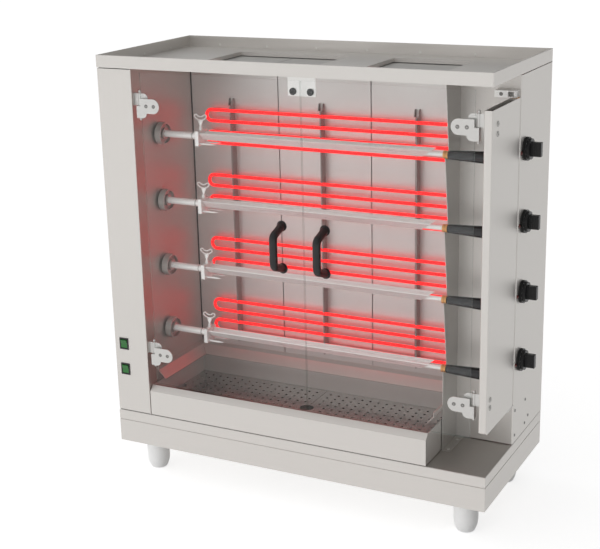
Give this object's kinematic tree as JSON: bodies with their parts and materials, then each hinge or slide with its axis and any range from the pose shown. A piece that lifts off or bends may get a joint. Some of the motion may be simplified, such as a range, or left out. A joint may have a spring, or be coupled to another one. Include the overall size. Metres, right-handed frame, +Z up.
{
  "type": "rotisserie oven",
  "caption": "Upright electric chicken rotisserie in stainless sheet: motor-driven spits before glowing rod elements, hinged glass doors, a side door to the spit handles and a drip tray.",
  "frame": {"origin": "on the floor, under the middle of the whole outline", "axes": "+Z up, -Y to the front with the glass doors, +X to the side with the knobs"},
  "size_m": [1.09, 0.522, 1.15],
  "materials": {
    "stainless": "brushed, slightly warm stainless sheet",
    "bright_steel": "polished steel",
    "black_plastic": "black moulded plastic, fine grain",
    "bronze": "turned bronze",
    "hot_rod": "glowing red element rod",
    "dark_metal": "heat-darkened steel",
    "white_plastic": "white moulded plastic",
    "clear_glass": "clear toughened glass, polished edges",
    "green_plastic": "green translucent plastic",
    "lamp_red": "red lamp lens"
  },
  "bodies": {
    "cabinet": {"base_box": "stainless", "deck": "stainless", "feet": "white_plastic", "left_cover": "stainless", "left_cavity_wall": "stainless", "back_panels": "stainless", "right_cavity_wall": "stainless", "control_cover": "stainless", "rear_panel": "stainless", "top_plate": "stainless", "top_rim": "stainless", "drip_deflectors": "stainless", "door_catch_plate": "stainless", "door_magnets": "black_plastic", "element_supports": "dark_metal", "heating_elements": "hot_rod", "spit_motors": "dark_metal", "spit_bushes": "bronze", "heat_regulators": "dark_metal", "pilot_lamps": "lamp_red", "switch_housings": "black_plastic", "side_hinge_brackets": "bright_steel", "left_hinge_brackets": "bright_steel", "cable_gland": "black_plastic"},
    "drive_socket_1": {"drive_socket_1": "bright_steel"},
    "spit_1": {"spit_1": "bright_steel", "spit_handle_1": "black_plastic"},
    "fork_1": {"fork_1": "bright_steel"},
    "wing_screw_1": {"wing_screw_1": "bright_steel"},
    "knob_1": {"knob_1": "black_plastic"},
    "drive_socket_2": {"drive_socket_2": "bright_steel"},
    "spit_2": {"spit_2": "bright_steel", "spit_handle_2": "black_plastic"},
    "fork_2": {"fork_2": "bright_steel"},
    "wing_screw_2": {"wing_screw_2": "bright_steel"},
    "knob_2": {"knob_2": "black_plastic"},
    "drive_socket_3": {"drive_socket_3": "bright_steel"},
    "spit_3": {"spit_3": "bright_steel", "spit_handle_3": "black_plastic"},
    "fork_3": {"fork_3": "bright_steel"},
    "wing_screw_3": {"wing_screw_3": "bright_steel"},
    "knob_3": {"knob_3": "black_plastic"},
    "drive_socket_4": {"drive_socket_4": "bright_steel"},
    "spit_4": {"spit_4": "bright_steel", "spit_handle_4": "black_plastic"},
    "fork_4": {"fork_4": "bright_steel"},
    "wing_screw_4": {"wing_screw_4": "bright_steel"},
    "knob_4": {"knob_4": "black_plastic"},
    "lower_rocker": {"lower_rocker": "green_plastic"},
    "upper_rocker": {"upper_rocker": "green_plastic"},
    "side_door": {"side_door": "stainless", "right_hinge_brackets": "bright_steel"},
    "right_glass_door": {"right_glass": "clear_glass", "right_hinge_leaves": "bright_steel", "right_door_handle": "black_plastic"},
    "left_glass_door": {"left_glass": "clear_glass", "left_hinge_leaves": "bright_steel", "left_door_handle": "black_plastic"},
    "tray": {"drip_tray": "stainless", "drip_grids": "stainless"}
  },
  "joints": [
    {"name": "spit_spin_1", "type": "hinge", "parent": "cabinet", "child": "drive_socket_1", "pos_m": [-0.437, -0.096, 0.403], "axis": [1, 0, 0], "continuous": true},
    {"name": "spit_pull_1", "type": "slide", "parent": "drive_socket_1", "child": "spit_1", "axis": [1, 0, 0], "range_m": [0, 0.02]},
    {"name": "fork_slide_1", "type": "slide", "parent": "spit_1", "child": "fork_1", "axis": [1, 0, 0], "range_m": [0, 0.55]},
    {"name": "wing_turn_1", "type": "hinge", "parent": "fork_1", "child": "wing_screw_1", "pos_m": [-0.313, -0.096, 0.423], "axis": [0, 0, 1], "range_deg": [0, 360]},
    {"name": "knob_turn_1", "type": "hinge", "parent": "cabinet", "child": "knob_1", "pos_m": [0.505, 0.038, 0.403], "axis": [-1, 0, 0], "range_deg": [0, 270]},
    {"name": "spit_spin_2", "type": "hinge", "parent": "cabinet", "child": "drive_socket_2", "pos_m": [-0.437, -0.096, 0.581], "axis": [1, 0, 0], "continuous": true},
    {"name": "spit_pull_2", "type": "slide", "parent": "drive_socket_2", "child": "spit_2", "axis": [1, 0, 0], "range_m": [0, 0.02]},
    {"name": "fork_slide_2", "type": "slide", "parent": "spit_2", "child": "fork_2", "axis": [1, 0, 0], "range_m": [0, 0.55]},
    {"name": "wing_turn_2", "type": "hinge", "parent": "fork_2", "child": "wing_screw_2", "pos_m": [-0.313, -0.096, 0.601], "axis": [0, 0, 1], "range_deg": [0, 360]},
    {"name": "knob_turn_2", "type": "hinge", "parent": "cabinet", "child": "knob_2", "pos_m": [0.505, 0.038, 0.581], "axis": [-1, 0, 0], "range_deg": [0, 270]},
    {"name": "spit_spin_3", "type": "hinge", "parent": "cabinet", "child": "drive_socket_3", "pos_m": [-0.437, -0.096, 0.759], "axis": [1, 0, 0], "continuous": true},
    {"name": "spit_pull_3", "type": "slide", "parent": "drive_socket_3", "child": "spit_3", "axis": [1, 0, 0], "range_m": [0, 0.02]},
    {"name": "fork_slide_3", "type": "slide", "parent": "spit_3", "child": "fork_3", "axis": [1, 0, 0], "range_m": [0, 0.55]},
    {"name": "wing_turn_3", "type": "hinge", "parent": "fork_3", "child": "wing_screw_3", "pos_m": [-0.313, -0.096, 0.779], "axis": [0, 0, 1], "range_deg": [0, 360]},
    {"name": "knob_turn_3", "type": "hinge", "parent": "cabinet", "child": "knob_3", "pos_m": [0.505, 0.038, 0.759], "axis": [-1, 0, 0], "range_deg": [0, 270]},
    {"name": "spit_spin_4", "type": "hinge", "parent": "cabinet", "child": "drive_socket_4", "pos_m": [-0.437, -0.096, 0.937], "axis": [1, 0, 0], "continuous": true},
    {"name": "spit_pull_4", "type": "slide", "parent": "drive_socket_4", "child": "spit_4", "axis": [1, 0, 0], "range_m": [0, 0.02]},
    {"name": "fork_slide_4", "type": "slide", "parent": "spit_4", "child": "fork_4", "axis": [1, 0, 0], "range_m": [0, 0.55]},
    {"name": "wing_turn_4", "type": "hinge", "parent": "fork_4", "child": "wing_screw_4", "pos_m": [-0.313, -0.096, 0.957], "axis": [0, 0, 1], "range_deg": [0, 360]},
    {"name": "knob_turn_4", "type": "hinge", "parent": "cabinet", "child": "knob_4", "pos_m": [0.505, 0.038, 0.937], "axis": [-1, 0, 0], "range_deg": [0, 270]},
    {"name": "lower_rocker_tilt", "type": "hinge", "parent": "cabinet", "child": "lower_rocker", "pos_m": [-0.515, -0.208, 0.308], "axis": [-1, 0, 0], "range_deg": [0, 16]},
    {"name": "upper_rocker_tilt", "type": "hinge", "parent": "cabinet", "child": "upper_rocker", "pos_m": [-0.515, -0.208, 0.38], "axis": [-1, 0, 0], "range_deg": [0, 16]},
    {"name": "side_door_swing", "type": "hinge", "parent": "cabinet", "child": "side_door", "pos_m": [0.495, -0.01901, 0.686], "axis": [0, 0, 1], "range_deg": [0, 100]},
    {"name": "right_glass_swing", "type": "hinge", "parent": "side_door", "child": "right_glass_door", "pos_m": [0.469, -0.196, 0.6945], "axis": [0, 0, 1], "range_deg": [0, 95]},
    {"name": "left_glass_swing", "type": "hinge", "parent": "cabinet", "child": "left_glass_door", "pos_m": [-0.426, -0.196, 0.6945], "axis": [0, 0, -1], "range_deg": [0, 95]},
    {"name": "tray_slide", "type": "slide", "parent": "cabinet", "child": "tray", "axis": [0, -1, 0], "range_m": [0, 0.25]}
  ]
}
